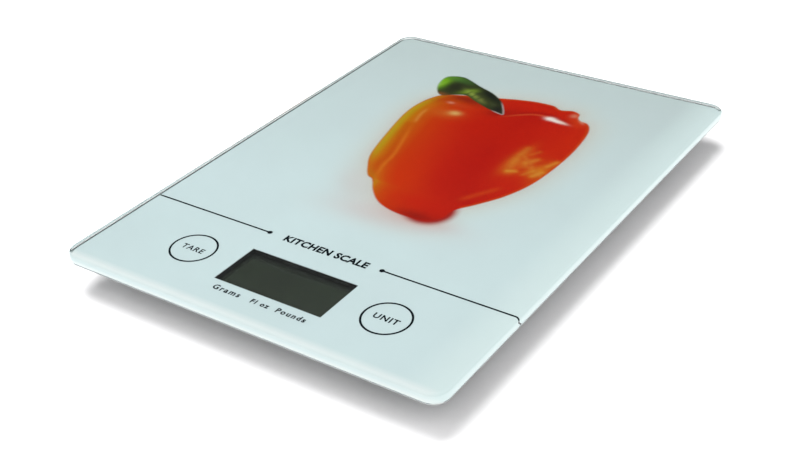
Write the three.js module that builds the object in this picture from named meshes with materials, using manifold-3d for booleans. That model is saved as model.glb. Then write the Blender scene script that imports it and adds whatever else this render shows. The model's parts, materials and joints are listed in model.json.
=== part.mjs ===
// A slim electronic kitchen scale. A tempered glass plate with a printed film behind it is bonded
// to a shallow plastic housing, which stands on four feet, each under a bending load cell.
// Millimetres, +Z up. The display end faces -Y. The origin is on the worktop, under the centre.
import * as THREE from "three";
import { mergeVertices } from "three/addons/utils/BufferGeometryUtils.js";
import Module from "manifold-3d";

const wasm = await Module();
wasm.setup();

// ---------- Driving dimensions ----------
const PLATE = { width: 160, length: 221, thickness: 4, corner: 6.5, edge: 1.25 };
const INSET = 12; // from the glass's edge to the housing's wall
const HOUSING = {
  width: PLATE.width - 2 * INSET,
  length: PLATE.length - 2 * INSET,
  corner: 8,
  wall: 1.75,
  edge: 1,
};

// Heights of the layers above the worktop.
const Z = {
  recess: 0.5, // lower rim of a foot
  padTop: 1.25,
  footTop: 2.5,
  coverUnder: 3.25,
  doorInside: 4.75,
  floor: 5, // inner face of the bottom cover
  nubTop: 6, // a foot's nub, which presses on its load cell
  cell: 6.25, // underside of a load cell
  cellTop: 7.25,
  boardUnder: 5.75,
  board: 7, // component side of the circuit board
  bossTop: 7.5,
  lcdUnder: 8.25,
  coverRim: 9.5,
  trayUnder: 9.75,
  lcdFace: 10.25,
  tray: 11.25,
  film: 11.75,
  glass: 12,
};
const FIT = 0.25; // clearance between plastic pieces

const FOOT = { x: 53, y: 82, radius: 10.25, post: 3, flange: 4.5, nub: 1.5, hole: 3.75 };
const PAD_RADIUS = 8.5;
const CELL = { half: 11, clamp: 8.75, clampRadius: 1.5 };
const SCREW = { head: 2.5, shank: 1.25, bore: 1.5, well: 3, boss: 4.25, post: 3.25 };
const COVER_SCREWS = [[-60, -45], [60, -45], [-60, 45], [60, 45], [0, 90], [0, -55]];

const PANEL_Y = -82.75; // the row that holds the display and both touch keys
const WINDOW = { width: 45.75, length: 21.25 };
const LCD = { width: 50, length: 22.5 };
const LCD_HOLDER = { width: 54, length: 24.75 };
const KEY = { x: 41.75, radius: 8.25, springX: 35.5, springRadius: 1.75, wire: 0.3, turns: 4 };
const BOARD = { half: 38.5, front: -95.5, back: -63.25 };
const BOARD_SCREWS = [[-35, -92.5], [35, -92.5], [-35, -66.25], [35, -66.25]];
const BOARD_SCREW = { head: 1.9, shank: 0.75, hole: 1.125, post: 2.5 };

const BAY = { half: 14, front: -29, back: -1, wall: 1.25 };
const DOOR = { half: BAY.half - FIT, front: BAY.front + FIT, axisY: -2, axisZ: 4 };
const DOOR_PIN = { radius: 0.5, reach: 15.25 };
const COIN = { radius: 10, y: -15, under: 5.25, top: 8.5 };
const UNIT_KEY = { x: 36, y: -15, radius: 3.25, flange: 4.5, hole: 3.75 };
const LABEL = { width: 56, length: 34, y: 46, thickness: 0.125 };

const CORNERS = [
  ["front_left", -1, -1],
  ["front_right", 1, -1],
  ["back_left", -1, 1],
  ["back_right", 1, 1],
];

// ---------- Materials ----------
const finish = (color, roughness, metalness = 0, opacity = 1) =>
  new THREE.MeshStandardMaterial({
    color,
    roughness,
    metalness,
    opacity,
    transparent: opacity < 1,
  });
const GLASS = finish(0xdff1ee, 0.04, 0, 0.35);
const PRINT = finish(0xd3e5e4, 0.5);
const TAPE = finish(0xe8e6df, 0.9);
const HOUSING_PLASTIC = finish(0xe9ebea, 0.45);
const INNER_PLASTIC = finish(0x2b2d2e, 0.6);
const FOAM = finish(0x1b1c1c, 0.95);
const RUBBER = finish(0xb9bdbd, 0.9);
const STEEL = finish(0xb8babd, 0.3, 1);
const SPRING_STEEL = finish(0xc9c4b4, 0.35, 1);
const COPPER = finish(0xb87445, 0.4, 1);
const LAMINATE = finish(0x1f6b3a, 0.55);
const EPOXY = finish(0x121314, 0.35);
const DISPLAY = finish(0x3f443c, 0.2);
const SILICONE = finish(0xf0f0ec, 0.7);
const LABEL_STOCK = finish(0xd9dbdc, 0.4);
const RED_LEAD = finish(0xb3201d, 0.5);
const BLACK_LEAD = finish(0x1a1a1a, 0.5);
const GREY_LEAD = finish(0x9a9c9e, 0.5);

// ---------- Shapes ----------
function solidOf(geometry) {
  const bare = geometry.clone();
  bare.deleteAttribute("normal");
  bare.deleteAttribute("uv");
  const merged = mergeVertices(bare, 1e-4);
  return new wasm.Manifold(
    new wasm.Mesh({
      numProp: 3,
      vertProperties: merged.attributes.position.array,
      triVerts: new Uint32Array(merged.index.array),
    }),
  );
}

function geometryOf(solid) {
  const mesh = solid.getMesh();
  const geometry = new THREE.BufferGeometry();
  geometry.setAttribute("position", new THREE.BufferAttribute(mesh.vertProperties, 3));
  geometry.setIndex(new THREE.BufferAttribute(mesh.triVerts, 1));
  geometry.computeVertexNormals();
  return geometry;
}

// Joins every piece, then cuts every tool from the result.
function built(pieces, tools = []) {
  const whole = pieces.map(solidOf).reduce((sum, piece) => sum.add(piece));
  return geometryOf(tools.map(solidOf).reduce((rest, tool) => rest.subtract(tool), whole));
}

function block(x0, x1, y0, y1, z0, z1) {
  const geometry = new THREE.BoxGeometry(x1 - x0, y1 - y0, z1 - z0);
  return geometry.translate((x0 + x1) / 2, (y0 + y1) / 2, (z0 + z1) / 2);
}

const centred = (width, length, y, z0, z1) =>
  block(-width / 2, width / 2, y - length / 2, y + length / 2, z0, z1);

function post(radius, z0, z1, x, y, sides = 8) {
  const geometry = new THREE.CylinderGeometry(radius, radius, z1 - z0, sides);
  return geometry.rotateX(Math.PI / 2).translate(x, y, (z0 + z1) / 2);
}

function outline(width, length, corner, Kind = THREE.Shape) {
  const [x, y] = [width / 2 - corner, length / 2 - corner];
  const quarter = Math.PI / 2;
  const path = new Kind();
  [[x, y], [-x, y], [-x, -y], [x, -y]].forEach(([cx, cy], i) => {
    path.absarc(cx, cy, corner, i * quarter, (i + 1) * quarter, false);
  });
  return path;
}

const slab = (shape, z0, z1, curveSegments = 5) =>
  new THREE.ExtrudeGeometry(shape, { depth: z1 - z0, bevelEnabled: false, curveSegments }).translate(0, 0, z0);

// A slab whose edges are rounded top and bottom by the radius `edge`.
function softSlab(width, length, corner, edge, z0, z1, bevelSegments) {
  const shape = outline(width - 2 * edge, length - 2 * edge, corner - edge);
  const geometry = new THREE.ExtrudeGeometry(shape, {
    depth: z1 - z0 - 2 * edge,
    bevelThickness: edge,
    bevelSize: edge,
    bevelSegments,
    curveSegments: 7,
  });
  return geometry.translate(0, 0, z0 + edge);
}

function frame(outer, inner, z0, z1) {
  outer.holes.push(inner);
  return slab(outer, z0, z1);
}

// Turns a profile of [radius, height] points, listed from the bottom of the axis to its top.
function turned(profile, x, y, sides = 20) {
  const points = profile.map(([radius, height]) => new THREE.Vector2(radius, height));
  return new THREE.LatheGeometry(points, sides).rotateX(Math.PI / 2).translate(x, y, 0);
}

function polygon(sides, radius) {
  const corners = Array.from({ length: sides }, (_, i) => {
    const angle = (i / sides) * 2 * Math.PI;
    return new THREE.Vector2(radius * Math.cos(angle), radius * Math.sin(angle));
  });
  return new THREE.Shape(corners);
}

const tube = (curve, radius, sides, steps) =>
  new THREE.ExtrudeGeometry(polygon(sides, radius), { steps, extrudePath: curve });

class Helix extends THREE.Curve {
  constructor(radius, z0, z1, turns, x, y) {
    super();
    Object.assign(this, { radius, z0, z1, turns, x, y });
  }
  getPoint(t, target = new THREE.Vector3()) {
    const angle = 2 * Math.PI * this.turns * t;
    return target.set(
      this.x + this.radius * Math.cos(angle),
      this.y + this.radius * Math.sin(angle),
      this.z0 + (this.z1 - this.z0) * t,
    );
  }
}

// ---------- The glass and what is bonded to it ----------
const scale = new THREE.Group();
const add = (name, geometry, material) => {
  const mesh = new THREE.Mesh(geometry, material);
  mesh.name = name;
  scale.add(mesh);
};

function addPlate() {
  const top = Z.glass + PLATE.thickness;
  add(
    "glass_plate",
    softSlab(PLATE.width, PLATE.length, PLATE.corner, PLATE.edge, Z.glass, top, 3),
    GLASS,
  );

  const margin = 0.5; // the print stops this far inside the glass's edge
  const film = outline(PLATE.width - 2 * margin, PLATE.length - 2 * margin, PLATE.corner - margin);
  add(
    "printed_film",
    built([slab(film, Z.film, Z.glass)], [centred(WINDOW.width, WINDOW.length, PANEL_Y, Z.tray, 13)]),
    PRINT,
  );

  const tape = { width: 3.25, outside: 1 };
  const [w, l] = [HOUSING.width - 2 * tape.outside, HOUSING.length - 2 * tape.outside];
  add(
    "adhesive_tape",
    frame(
      outline(w, l, 7),
      outline(w - 2 * tape.width, l - 2 * tape.width, 3.75, THREE.Path),
      Z.tray,
      Z.film,
    ),
    TAPE,
  );
}

// ---------- Housing ----------
const cellClamps = CORNERS.flatMap(([, sx, sy]) =>
  CORNERS.map(([, cx, cy]) => [sx * FOOT.x + cx * CELL.clamp, sy * FOOT.y + cy * CELL.clamp]),
);

function addUpperTray() {
  const lip = { gap: HOUSING.wall + FIT, thickness: 1.25, under: 8.5 };
  const [w, l] = [HOUSING.width - 2 * lip.gap, HOUSING.length - 2 * lip.gap];
  const corner = HOUSING.corner - lip.gap;
  const pieces = [
    slab(outline(HOUSING.width, HOUSING.length, HOUSING.corner), Z.trayUnder, Z.tray),
    frame(
      outline(w, l, corner),
      outline(w - 2 * lip.thickness, l - 2 * lip.thickness, corner - lip.thickness, THREE.Path),
      lip.under,
      Z.trayUnder,
    ),
    ...COVER_SCREWS.map(([x, y]) => post(SCREW.post, Z.bossTop, Z.trayUnder, x, y, 12)),
    ...cellClamps.map(([x, y]) => post(CELL.clampRadius, Z.cellTop, Z.trayUnder, x, y)),
    ...BOARD_SCREWS.map(([x, y]) => post(BOARD_SCREW.post, Z.board, Z.trayUnder, x, y)),
  ];
  const tools = [
    centred(LCD.width + 1, LCD.length + 1.25, PANEL_Y, 9, 12),
    ...COVER_SCREWS.map(([x, y]) => post(SCREW.bore, 7, Z.coverRim, x, y)),
    ...BOARD_SCREWS.map(([x, y]) => post(1, 6, 9.25, x, y)),
    ...[-1, 1].map((side) => post(2.75, 9, 12, side * KEY.springX, PANEL_Y, 12)),
  ];
  add("upper_tray", built(pieces, tools), HOUSING_PLASTIC);
}

function addBottomCover() {
  const outer = solidOf(
    softSlab(
      HOUSING.width,
      HOUSING.length,
      HOUSING.corner,
      HOUSING.edge,
      Z.coverUnder,
      Z.coverRim + 2 * HOUSING.edge,
      2,
    ),
  );
  const keep = solidOf(centred(2 * HOUSING.width, 2 * HOUSING.length, 0, 0, Z.coverRim));
  const shell = geometryOf(outer.intersect(keep));
  const cavity = slab(
    outline(
      HOUSING.width - 2 * HOUSING.wall,
      HOUSING.length - 2 * HOUSING.wall,
      HOUSING.corner - HOUSING.wall,
    ),
    Z.floor,
    Z.trayUnder + 1,
  );
  const hollow = built([shell], [cavity]);
  const bayY = [BAY.front - BAY.wall, BAY.back + BAY.wall];
  const wellTop = 5.75;
  const pieces = [
    hollow,
    block(-BAY.half - BAY.wall, BAY.half + BAY.wall, ...bayY, Z.coverUnder + 0.5, Z.coverRim),
    ...COVER_SCREWS.map(([x, y]) => post(SCREW.boss, Z.coverUnder + 0.5, Z.bossTop, x, y, 12)),
    ...cellClamps.map(([x, y]) => post(CELL.clampRadius, Z.coverUnder + 0.5, Z.cell, x, y)),
  ];
  const tools = [
    block(-BAY.half, BAY.half, BAY.front, BAY.back, 0, 12),
    ...[-1, 1].map((side) => {
      const x = [side * (BAY.half - 1), side * (DOOR_PIN.reach + FIT)].sort((a, b) => a - b);
      return block(...x, DOOR.axisY - 0.75, DOOR.axisY + 0.75, 3.375, 5.125);
    }),
    ...[-1, 1].map((side) => block(side * 2 - 1, side * 2 + 1, -31, -28, Z.lcdUnder, 10)),
    ...COVER_SCREWS.flatMap(([x, y]) => [
      post(SCREW.well, 0, wellTop, x, y, 12),
      post(SCREW.bore, 0, 9, x, y),
    ]),
    ...CORNERS.map(([, sx, sy]) => post(FOOT.hole, 0, 6, sx * FOOT.x, sy * FOOT.y, 16)),
    post(UNIT_KEY.hole, 0, 6, UNIT_KEY.x, UNIT_KEY.y, 20),
    block(-5.5, 5.5, BAY.front - 2.5, BAY.front + 1, 0, Z.coverUnder + 0.5), // thumb notch
  ];
  add("bottom_cover", built(pieces, tools), HOUSING_PLASTIC);
  add(
    "rating_label",
    centred(LABEL.width, LABEL.length, LABEL.y, Z.coverUnder - LABEL.thickness, Z.coverUnder),
    LABEL_STOCK,
  );
}

// A pan-head screw, driven upwards, with a cross recess in its head.
function screw(x, y, headUnder, headTop, tip, { head, shank }) {
  const slot = { long: head * 0.62, short: 0.3, depth: (headTop - headUnder) * 0.55 };
  const profile = [
    [0, headUnder],
    [head * 0.7, headUnder],
    [head, headUnder + (headTop - headUnder) * 0.4],
    [head, headTop],
    [shank, headTop],
    [shank, tip - shank],
    [0, tip],
  ];
  const slotTop = headUnder + slot.depth;
  return built(
    [turned(profile, x, y, 12)],
    [
      block(x - slot.long, x + slot.long, y - slot.short, y + slot.short, 0, slotTop),
      block(x - slot.short, x + slot.short, y - slot.long, y + slot.long, 0, slotTop),
    ],
  );
}

function addScrews() {
  COVER_SCREWS.forEach(([x, y], i) => {
    add(`cover_screw_${i + 1}`, screw(x, y, 4, 5.75, 9.25, SCREW), STEEL);
  });
  BOARD_SCREWS.forEach(([x, y], i) => {
    add(`board_screw_${i + 1}`, screw(x, y, 5.25, Z.boardUnder, 9, BOARD_SCREW), STEEL);
  });
}

// ---------- Feet and load cells ----------
function addFoot(place, x, y) {
  const rim = FOOT.radius;
  const flangeUnder = Z.floor + 0.125;
  const capProfile = [
    [0, Z.padTop],
    [PAD_RADIUS + FIT, Z.padTop],
    [PAD_RADIUS + FIT, Z.recess],
    [rim - 0.5, Z.recess],
    [rim, Z.recess + 0.5],
    [rim, Z.footTop - 0.25],
    [rim - 0.25, Z.footTop],
    [FOOT.post, Z.footTop],
    [FOOT.post, flangeUnder],
    [FOOT.flange, flangeUnder],
    [FOOT.flange - 0.5, 5.75],
    [FOOT.nub, 5.75],
    [FOOT.nub, Z.nubTop],
    [0, Z.nubTop],
  ];
  const padProfile = [
    [0, 0],
    [PAD_RADIUS - 0.75, 0],
    [PAD_RADIUS, Z.recess],
    [PAD_RADIUS, Z.padTop],
    [0, Z.padTop],
  ];
  add(`foot_${place}`, turned(capProfile, x, y, 20), HOUSING_PLASTIC);
  add(`foot_pad_${place}`, turned(padProfile, x, y, 20), RUBBER);
}

// A square steel plate with a tongue cut out of it. Its root faces the middle of the scale.
function addLoadCell(place, x, y, inward) {
  const slot = { outer: 6.5, inner: 5, end: -7, inside: -5.5, root: 5 };
  const plate = outline(2 * CELL.half, 2 * CELL.half, 2);
  const corners = [
    [-slot.outer, slot.root],
    [-slot.outer, slot.end],
    [slot.outer, slot.end],
    [slot.outer, slot.root],
    [slot.inner, slot.root],
    [slot.inner, slot.inside],
    [-slot.inner, slot.inside],
    [-slot.inner, slot.root],
  ];
  plate.holes.push(new THREE.Path(corners.map(([px, py]) => new THREE.Vector2(px, py * inward))));
  add(`load_cell_${place}`, slab(plate, Z.cell, Z.cellTop, 2).translate(x, y, 0), STEEL);
  const [near, far] = [y + inward * 2.5, y + inward * 7.5].sort((a, b) => a - b);
  add(
    `strain_gauge_${place}`,
    block(x - 3.5, x + 3.5, near, far, Z.cellTop, Z.cellTop + 0.5),
    SILICONE,
  );
}

// ---------- Display and touch keys ----------
function addDisplay() {
  const y = PANEL_Y;
  const screwHoles = BOARD_SCREWS.map(([sx, sy]) => post(BOARD_SCREW.hole, 5, 8, sx, sy));
  add(
    "circuit_board",
    built([block(-BOARD.half, BOARD.half, BOARD.front, BOARD.back, Z.boardUnder, Z.board)], screwHoles),
    LAMINATE,
  );
  add(
    "lcd_holder",
    built(
      [centred(LCD_HOLDER.width, LCD_HOLDER.length, y, Z.board, Z.coverRim)],
      [
        centred(LCD.width + 0.5, LCD.length + 0.5, y, Z.lcdUnder, 10),
        centred(46, 16, y, 6, 9),
        centred(44.5, 2.25, y + 9.75, 6, 9),
      ],
    ),
    INNER_PLASTIC,
  );
  add("zebra_strip", centred(44, 1.75, y + 9.75, Z.board, Z.lcdUnder), FOAM);
  add("lcd_panel", centred(LCD.width, LCD.length, y, Z.lcdUnder, Z.lcdFace), DISPLAY);
  add(
    "lcd_gasket",
    built(
      [centred(LCD.width, LCD.length, y, Z.lcdFace, Z.film)],
      [centred(WINDOW.width, WINDOW.length, y, 10, 12)],
    ),
    FOAM,
  );
  const dome = [[0, Z.board], [5, Z.board], [3.5, Z.board + 0.5], [0, Z.board + 0.75]];
  add("controller_chip", turned(dome, 0, y - 1, 16), EPOXY);
}

function addTouchKey(side, sign) {
  const springX = sign * KEY.springX;
  const spring = new Helix(
    KEY.springRadius,
    Z.board + KEY.wire + FIT,
    Z.tray - KEY.wire - FIT,
    KEY.turns,
    springX,
    PANEL_Y,
  );
  add(`touch_spring_${side}`, tube(spring, KEY.wire, 5, 10 * KEY.turns), SPRING_STEEL);
  add(`touch_electrode_${side}`, post(KEY.radius, Z.tray, Z.film, sign * KEY.x, PANEL_Y, 24), COPPER);
}

// ---------- Battery bay ----------
function addBattery() {
  const { y, radius, under, top } = COIN;
  const holder = { half: 13.5, front: -27.5, back: -2.5 };
  add(
    "battery_holder",
    built(
      [block(-holder.half, holder.half, holder.front, holder.back, under, Z.trayUnder)],
      [
        post(radius + FIT, 0, 12, 0, y, 24),
        block(-4, 4, holder.front - 1, y, 0, 12), // slot for the side contact
      ],
    ),
    INNER_PLASTIC,
  );
  const crimp = 0.5;
  const coinProfile = [
    [0, under],
    [radius - crimp, under],
    [radius, under + crimp],
    [radius, top - 0.75],
    [radius - 1.25, top],
    [0, top],
  ];
  add("coin_cell", turned(coinProfile, 0, y, 24), STEEL);

  // A leaf, bowed down against the cell's small face, seen from the side as an arch.
  const arch = new THREE.Shape();
  arch.moveTo(-6, 9.75);
  arch.lineTo(-6, 9.5);
  arch.lineTo(-4, 9.5);
  arch.lineTo(0, 8.75);
  arch.lineTo(4, 9.5);
  arch.lineTo(6, 9.5);
  arch.lineTo(6, 9.75);
  arch.lineTo(4, 9.75);
  arch.lineTo(0, 9);
  arch.lineTo(-4, 9.75);
  const leafWidth = 5;
  const leaf = new THREE.ExtrudeGeometry(arch, { depth: leafWidth, bevelEnabled: false });
  leaf.rotateX(Math.PI / 2).translate(0, y + leafWidth / 2, 0);
  add("battery_contact_negative", leaf, SPRING_STEEL);
  const clipY = y - radius - FIT;
  add(
    "battery_contact_positive",
    built([
      block(-3.5, 0.5, clipY - FIT, clipY, 5.75, Z.trayUnder),
      block(-3.5, 0.5, holder.front, clipY, 9.25, Z.trayUnder),
    ]),
    SPRING_STEEL,
  );
}

// The door turns on two pins at its back edge. A tongue between two slits latches its front edge.
function addBatteryDoor() {
  const barrel = (radius, reach, sides) =>
    new THREE.CylinderGeometry(radius, radius, 2 * reach, sides)
      .rotateZ(Math.PI / 2)
      .translate(0, DOOR.axisY, DOOR.axisZ);
  const tongue = { half: 5, slit: 0.75, back: -21 };
  const pieces = [
    block(-DOOR.half, DOOR.half, DOOR.front, DOOR.axisY, Z.coverUnder, Z.doorInside),
    barrel(DOOR.axisZ - Z.coverUnder, DOOR.half, 16),
    barrel(DOOR_PIN.radius, DOOR_PIN.reach, 10),
    block(-4, 4, DOOR.front, DOOR.front + 0.75, Z.doorInside - 0.5, Z.doorInside + 1),
  ];
  const slits = [-1, 1].map((side) => {
    const middle = side * (tongue.half + tongue.slit / 2);
    return block(middle - tongue.slit / 2, middle + tongue.slit / 2, -30, tongue.back, 0, 6);
  });
  const gripGrooves = [-26.5, -25, -23.5].map((y) => block(-4, 4, y - 0.375, y + 0.375, 0, 3.625));
  add("battery_door", built(pieces, [...slits, ...gripGrooves]), HOUSING_PLASTIC);
}

// ---------- Unit key ----------
function addUnitKey() {
  const { x, y, radius, flange } = UNIT_KEY;
  const profile = [
    [0, 3],
    [radius - 0.5, 3],
    [radius, 3.375],
    [radius, Z.floor + 0.125],
    [flange, Z.floor + 0.125],
    [flange, 5.75],
    [1.5, 5.75],
    [1.5, 6.25],
    [0, 6.25],
  ];
  add("unit_button", turned(profile, x, y, 24), INNER_PLASTIC);
  add(
    "unit_switch",
    built([block(x - 3, x + 3, y - 3, y + 3, 7.25, 9), post(1.75, 7, 7.5, x, y, 12)]),
    EPOXY,
  );
  add("switch_board", block(x - 6, x + 6, y - 6, y + 6, 9, Z.trayUnder), LAMINATE);
}

// ---------- Leads, along the inside of the housing ----------
function addLead(name, material, radius, points) {
  const curve = new THREE.CatmullRomCurve3(points.map((point) => new THREE.Vector3(...point)));
  add(name, tube(curve, radius, 6, 4 * points.length), material);
}

function addLeads() {
  [["left", -1], ["right", 1]].forEach(([side, s]) => {
    addLead(`cell_lead_front_${side}`, GREY_LEAD, 0.6, [
      [s * 53, -75.5, 8.5],
      [s * 47, -71, 8.6],
      [s * 40, -70, 8.6],
      [s * 32, -68.5, 8.3],
      [s * 25, -65, 7.9],
    ]);
    addLead(`cell_lead_back_${side}`, GREY_LEAD, 0.6, [
      [s * 53, 75.5, 8.5],
      [s * 50, 62, 8.6],
      [s * 49, 0, 8.4],
      [s * 48, -45, 8.4],
      [s * 38, -58, 8.4],
      [s * 25, -60, 8.2],
      [s * 18, -64, 7.9],
    ]);
  });
  addLead("battery_lead_positive", RED_LEAD, 0.5, [
    [-2, -27.75, 9.125],
    [-2, -31, 9],
    [-5, -45, 8.5],
    [-6, -55, 8.2],
    [-7, -64, 7.8],
  ]);
  addLead("battery_lead_negative", BLACK_LEAD, 0.5, [
    [2.25, -17.75, 9.125],
    [2.25, -25, 9.125],
    [2, -31, 9],
    [5, -45, 8.5],
    [6, -55, 8.2],
    [7, -64, 7.8],
  ]);
  addLead("switch_lead", GREY_LEAD, 0.5, [
    [34, -22, 9],
    [32, -30, 8.8],
    [24, -46, 8.4],
    [15, -57, 8.1],
    [13, -64, 7.8],
  ]);
}

addPlate();
addUpperTray();
addBottomCover();
addScrews();
CORNERS.forEach(([place, sx, sy]) => {
  addFoot(place, sx * FOOT.x, sy * FOOT.y);
  addLoadCell(place, sx * FOOT.x, sy * FOOT.y, -sy);
});
addDisplay();
addTouchKey("left", -1);
addTouchKey("right", 1);
addBattery();
addBatteryDoor();
addUnitKey();
addLeads();

export default scale;
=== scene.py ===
"""A slim glass kitchen scale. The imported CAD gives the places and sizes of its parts. This script
builds the polished glass, the printed film with its picture, marks and words, and the turned feet. It
gives every part its material, and sets up the floor, the lights and the camera. Metres, +Z up."""

import json
import math

import bpy
import numpy as np
from mathutils import Matrix, Vector


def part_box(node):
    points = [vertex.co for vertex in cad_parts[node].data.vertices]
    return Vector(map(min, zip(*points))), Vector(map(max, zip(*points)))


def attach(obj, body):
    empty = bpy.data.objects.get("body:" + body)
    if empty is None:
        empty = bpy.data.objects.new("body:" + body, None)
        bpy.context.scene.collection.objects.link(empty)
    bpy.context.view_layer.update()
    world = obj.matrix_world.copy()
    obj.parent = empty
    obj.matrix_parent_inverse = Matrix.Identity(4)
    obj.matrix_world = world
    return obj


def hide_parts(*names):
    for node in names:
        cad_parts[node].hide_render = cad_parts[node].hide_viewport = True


MM = 0.001

# ---------- Where the camera and the lights stand ----------
CAMERA_PLACE = (0.2411, -0.3507, 0.2542)
CAMERA_AZIMUTH = 35.63
CAMERA_ELEVATION = 31.53
CAMERA_ROLL = -2.95
CAMERA_LENS = 57.0
KEY_LIGHT = {"place": (-0.38, 0.19, 1.12), "size": 1.0, "watts": 33.0}
FRONT_LIGHT = {"place": (0.05, -0.50, 0.70), "size": 0.9, "watts": 6.1}
SIDE_LIGHT = {"place": (0.85, -0.10, 0.80), "size": 1.0, "watts": 6.0}
FLOOR = {"half": 2.0, "plain": 0.5, "faded": 1.2}  # its half width, and where it fades out
# The sky's brightness by height, from 0 at the horizon and below it to 1 overhead.
SKY = ((0.0, 0.80), (0.02, 0.35), (0.08, 0.35), (0.26, 0.045), (0.45, 0.045), (1.0, 0.36))
BACKDROP = 0.92  # brightness of the plain backdrop that the camera sees

# ---------- Sizes in millimetres ----------
EDGE_RADIUS = 1.25  # of the glass's rounded edge, as in the CAD
EDGE_STEPS = 8
FLAT_MARGINS = (0.5, 0.02)  # two loops just inside the rounded edge keep the glass's top flat
PLATE_CORNER = 6.5
CORNER_STEPS = 16
PRINT_GAP = 0.5  # from the glass's edge to the edge of the print
COAT_GAP = 0.01  # from the film's printed side down to the coat on its edges
WINDOW = (45.75, 21.25)  # width and length of the clear window
INK_STEP = 0.04  # height between the film and a mark printed on it
PICTURE_STEP = 0.4  # spacing of the picture's grid
PICTURE_BOX = (-50.0, 56.0, -48.0, 96.0)  # left, right, front, back
PICTURE_FADE = 6  # width of the soft border inside that box

KEY_RADIUS = 8.6
KEY_STROKE = 0.8
KEY_X = 41.8
DIVIDER_Y = -60.7
DIVIDER = {"outer": 78.7, "inner": 24.7, "stroke": 0.78, "dot": 1.0}

TURN_AXIS = 0.01  # how close to its axis a turned profile starts and ends
WELL_RADIUS = 8.75  # of the foot's well, which holds the pad
WELL_TOP = 1.25
DISC_TOP = 2.5
NECK_RADIUS = 3.0
COLLAR_RADIUS = 4.5  # of the snap-in collar above the neck
COLLAR_LOW = 5.125
COLLAR_HIGH = 5.75
PEG_RADIUS = 1.5
TREAD = {"ribs": (1.35, 3.15, 4.95, 6.65), "width": 1.0, "slope": 0.1, "depth": 0.25}

# Where one shade gives way to another, as the start and the end of the change.
BACK_SHADE = (-30, 100)  # along the plate; painted shade, greyer toward the back
RIGHT_GLOW = (63, 75)  # across the plate; painted light near the right edge
FRONT_GLOW = (-104.5, -108)  # along the plate; painted light near the front edge
RIM_SHADE_LINE = (0.9, 0.5)  # in from the edge of the print; a painted shade line
EDGE_SHADE_LINE = (1.3, 0.7)  # in from the edge of the glass; painted shade on the back and left edges
DISPLAY_LEFT = (4.6, 2.2)  # in from the display's left edge
DISPLAY_BACK = (4.2, 1.4)  # in from its back edge

# ---------- Colours, as they look in daylight, 0 to 255 ----------
LIGHT_LEVEL = 1.55  # how much brighter the lights are than the light these colours were seen in
FILM = (223, 239, 242)  # at the front of the plate
FILM_BACK_SHADED = (212, 224, 225)  # painted shade: the film greyer at its back, where the lamps light it less
FILM_RIGHT_LIT = (231, 245, 246)  # painted light: lighter where light comes in through the glass's right edge
FILM_FRONT_LIT = (250, 254, 254)  # painted light: and where it comes in through its front edge
FILM_RIM_SHADE = (138, 144, 147)  # painted shade: the dark line round the edge of the print, for the shade seen at the glass's edge
GLASS = (250, 254, 253)
GLASS_SMUDGE = (248, 254, 252)
GLASS_EDGE_SHADE = (194, 201, 199)  # painted shade: the greyer tint of the glass along its back and left edges
DISPLAY = ((55, 62, 50), (60, 68, 54))
DISPLAY_SHADED = (22, 25, 22)
WORKTOP = ((252, 251, 252), (250, 249, 250))

# What a grained material has besides its colours and its grain.
MATT = {"Specular_IOR_Level": 0.0}
SATIN = {"Specular_IOR_Level": 0.45}
BRUSHED_FOIL = {"Specular_IOR_Level": 0.45, "stretch": (1, 6, 1)}
METAL = {"metallic": 1.0}
BRUSHED_METAL = {"metallic": 1.0, "stretch": (1, 8, 1)}

FINISHES = [  # slot, name, two colours, roughness, grain size and depth in millimetres, the rest
    ("ink", "dark_ink", (12, 20, 26), (18, 26, 33), (0.5, 0.6), 0.5, 0.002, MATT),
    ("back_coat", "back_coat", (226, 229, 229), (220, 224, 224), (0.4, 0.55), 0.8, 0.006, {}),
    ("tape", "foam_tape", (228, 226, 219), (214, 211, 202), (0.85, 0.98), 0.5, 0.06, {}),
    ("housing", "white_abs", (232, 235, 235), (226, 229, 230), (0.38, 0.58), 0.45, 0.012, SATIN),
    ("inner_plastic", "dark_abs", (44, 46, 47), (52, 54, 55), (0.4, 0.6), 0.5, 0.015, SATIN),
    ("foam", "black_foam", (20, 21, 21), (30, 31, 31), (0.9, 1.0), 0.3, 0.05, {}),
    ("rubber", "grey_rubber", (150, 154, 155), (138, 142, 143), (0.75, 0.92), 0.4, 0.02, {}),
    ("steel", "plated_steel", (188, 190, 193), (172, 174, 178), (0.22, 0.42), 0.25, 0.004,
     BRUSHED_METAL),
    ("spring_steel", "nickel_plate", (206, 200, 184), (190, 184, 168), (0.2, 0.38), 0.3, 0.003,
     METAL),
    ("copper", "copper_foil", (196, 124, 78), (176, 104, 62), (0.3, 0.5), 0.4, 0.004, METAL),
    ("laminate", "solder_mask", (24, 92, 52), (30, 108, 62), (0.3, 0.5), 1.2, 0.02, SATIN),
    ("epoxy", "black_epoxy", (18, 19, 20), (26, 27, 28), (0.25, 0.45), 0.8, 0.01, SATIN),
    ("silicone", "white_silicone", (240, 240, 236), (228, 228, 222), (0.5, 0.75), 0.6, 0.02, {}),
    ("label", "label_foil", (214, 217, 218), (202, 205, 207), (0.28, 0.45), 0.3, 0.002,
     BRUSHED_FOIL),
    ("grey_lead", "grey_insulation", (150, 152, 154), (136, 138, 140), (0.45, 0.65), 0.3, 0.008, {}),
    ("red_lead", "red_insulation", (178, 34, 30), (158, 26, 24), (0.45, 0.65), 0.3, 0.008, {}),
    ("black_lead", "black_insulation", (26, 26, 27), (36, 36, 37), (0.45, 0.65), 0.3, 0.008, {}),
]


# ---------- Colour values ----------
def linear(colour):
    """An sRGB colour, 0 to 255, as the linear values that shaders take."""
    c = np.asarray(colour, float) / 255
    return np.where(c <= 0.04045, c / 12.92, ((c + 0.055) / 1.055) ** 2.4) / LIGHT_LEVEL


def rgba(colour):
    return (*linear(colour), 1.0)


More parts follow.
